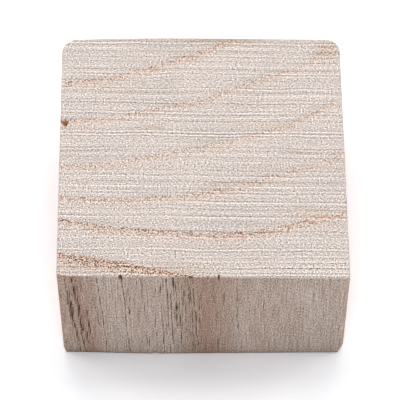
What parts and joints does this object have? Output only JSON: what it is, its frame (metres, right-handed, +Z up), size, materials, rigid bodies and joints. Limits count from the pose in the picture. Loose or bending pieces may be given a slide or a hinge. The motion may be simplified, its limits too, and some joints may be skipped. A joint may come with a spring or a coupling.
{
  "type": "wood block",
  "caption": "Squarish block sawn from wide-ringed pale wood, end grain up, with a slanted upper cut, worn corners and chipped edges; a rest, spacer or craft blank.",
  "frame": {"origin": "middle of the face the block rests on", "axes": "+Z up along the grain, +X to the right and -Y to the front as the picture shows the block"},
  "size_m": [0.06, 0.0598, 0.0339],
  "materials": {
    "wood": "raw sawn end grain, dry and matt, with fine saw lines across the top and open pores"
  },
  "bodies": {
    "root": {"wood_block": "wood"}
  },
  "joints": []
}
